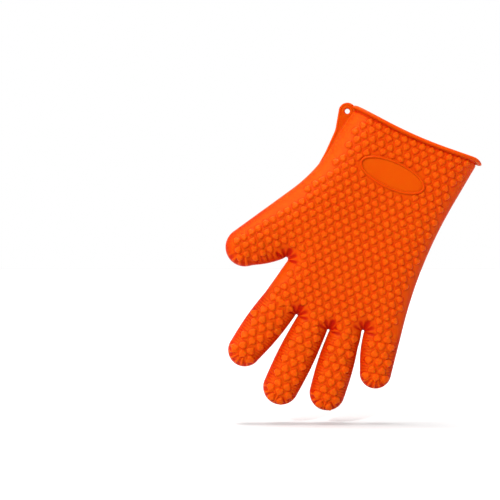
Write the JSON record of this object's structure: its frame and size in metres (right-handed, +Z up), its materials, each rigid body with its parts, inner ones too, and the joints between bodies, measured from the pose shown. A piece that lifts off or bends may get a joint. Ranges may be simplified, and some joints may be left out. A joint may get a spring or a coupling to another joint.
{
  "type": "heat resistant glove",
  "caption": "Five-fingered moulded silicone glove for hot grills and pans: flared cuff with rolled rim, hang tab, oval label panel and soft bending fingers.",
  "frame": {"origin": "centre of the hang hole, from which the glove hangs with its mass straight below", "axes": "+Z up, with the cuff up and the fingertips down; +Y from the grip face to the back of the glove; +X from the thumb side to the little finger side, the glove leaning 24.5 degrees as it hangs"},
  "size_m": [0.2276, 0.0376, 0.276],
  "materials": {
    "silicone_skin": "satin moulded silicone, slightly translucent",
    "silicone_rim": "satin moulded silicone",
    "silicone_tab": "satin moulded silicone",
    "silicone_label": "plain satin moulded silicone"
  },
  "bodies": {
    "cuff": {"cuff_shell": "silicone_skin", "rim_bead": "silicone_rim", "hang_tab": "silicone_tab", "label_panel": "silicone_label", "label_frame": "silicone_label", "wrist_flex": "silicone_skin"},
    "palm": {"palm_shell": "silicone_skin", "thumb_root_flex": "silicone_skin", "index_root_flex": "silicone_skin", "middle_root_flex": "silicone_skin", "ring_root_flex": "silicone_skin", "little_root_flex": "silicone_skin"},
    "thumb_base": {"thumb_proximal": "silicone_skin", "thumb_knuckle_flex": "silicone_skin"},
    "thumb_end": {"thumb_tip": "silicone_skin"},
    "index_base": {"index_proximal": "silicone_skin", "index_knuckle_flex": "silicone_skin"},
    "index_end": {"index_tip": "silicone_skin"},
    "middle_base": {"middle_proximal": "silicone_skin", "middle_knuckle_flex": "silicone_skin"},
    "middle_end": {"middle_tip": "silicone_skin"},
    "ring_base": {"ring_proximal": "silicone_skin", "ring_knuckle_flex": "silicone_skin"},
    "ring_end": {"ring_tip": "silicone_skin"},
    "little_base": {"little_proximal": "silicone_skin", "little_knuckle_flex": "silicone_skin"},
    "little_end": {"little_tip": "silicone_skin"}
  },
  "joints": [
    {"name": "wrist_bend", "type": "hinge", "parent": "cuff", "child": "palm", "pos_m": [0.01821, 0, -0.08918], "axis": [-0.91, 0, 0.4147], "range_deg": [-35, 40], "stiffness_Nm_per_rad": 0.6, "deforming": ["wrist_flex"]},
    {"name": "thumb_root_bend", "type": "hinge", "parent": "palm", "child": "thumb_base", "pos_m": [-0.07131, 0, -0.11248], "axis": [-0.4117, 0, 0.9113], "range_deg": [-10, 45], "stiffness_Nm_per_rad": 0.08, "deforming": ["thumb_root_flex"]},
    {"name": "thumb_knuckle_bend", "type": "hinge", "parent": "thumb_base", "child": "thumb_end", "pos_m": [-0.08594, 0, -0.11909], "axis": [-0.4117, 0, 0.9113], "range_deg": [-5, 55], "stiffness_Nm_per_rad": 0.04, "deforming": ["thumb_knuckle_flex"]},
    {"name": "index_root_bend", "type": "hinge", "parent": "palm", "child": "index_base", "pos_m": [-0.06435, 0, -0.17807], "axis": [-0.7918, 0, 0.6107], "range_deg": [-10, 60], "stiffness_Nm_per_rad": 0.08, "deforming": ["index_root_flex"]},
    {"name": "index_knuckle_bend", "type": "hinge", "parent": "index_base", "child": "index_end", "pos_m": [-0.08143, 0, -0.20023], "axis": [-0.7918, 0, 0.6107], "range_deg": [-5, 70], "stiffness_Nm_per_rad": 0.04, "deforming": ["index_knuckle_flex"]},
    {"name": "middle_root_bend", "type": "hinge", "parent": "palm", "child": "middle_base", "pos_m": [-0.03475, 0, -0.19678], "axis": [-0.8971, 0, 0.4418], "range_deg": [-10, 60], "stiffness_Nm_per_rad": 0.08, "deforming": ["middle_root_flex"]},
    {"name": "middle_knuckle_bend", "type": "hinge", "parent": "middle_base", "child": "middle_end", "pos_m": [-0.04914, 0, -0.22601], "axis": [-0.8971, 0, 0.4418], "range_deg": [-5, 70], "stiffness_Nm_per_rad": 0.04, "deforming": ["middle_knuckle_flex"]},
    {"name": "ring_root_bend", "type": "hinge", "parent": "palm", "child": "ring_base", "pos_m": [-0.00489, 0, -0.20783], "axis": [-0.9587, 0, 0.2843], "range_deg": [-10, 60], "stiffness_Nm_per_rad": 0.08, "deforming": ["ring_root_flex"]},
    {"name": "ring_knuckle_bend", "type": "hinge", "parent": "ring_base", "child": "ring_end", "pos_m": [-0.01294, 0, -0.23501], "axis": [-0.9587, 0, 0.2843], "range_deg": [-5, 70], "stiffness_Nm_per_rad": 0.04, "deforming": ["ring_knuckle_flex"]},
    {"name": "little_root_bend", "type": "hinge", "parent": "palm", "child": "little_base", "pos_m": [0.03014, 0, -0.20626], "axis": [-0.985, 0, 0.1728], "range_deg": [-10, 50], "stiffness_Nm_per_rad": 0.08, "deforming": ["little_root_flex"]},
    {"name": "little_knuckle_bend", "type": "hinge", "parent": "little_base", "child": "little_end", "pos_m": [0.02707, 0, -0.22374], "axis": [-0.985, 0, 0.1728], "range_deg": [-5, 60], "stiffness_Nm_per_rad": 0.04, "deforming": ["little_knuckle_flex"]}
  ]
}
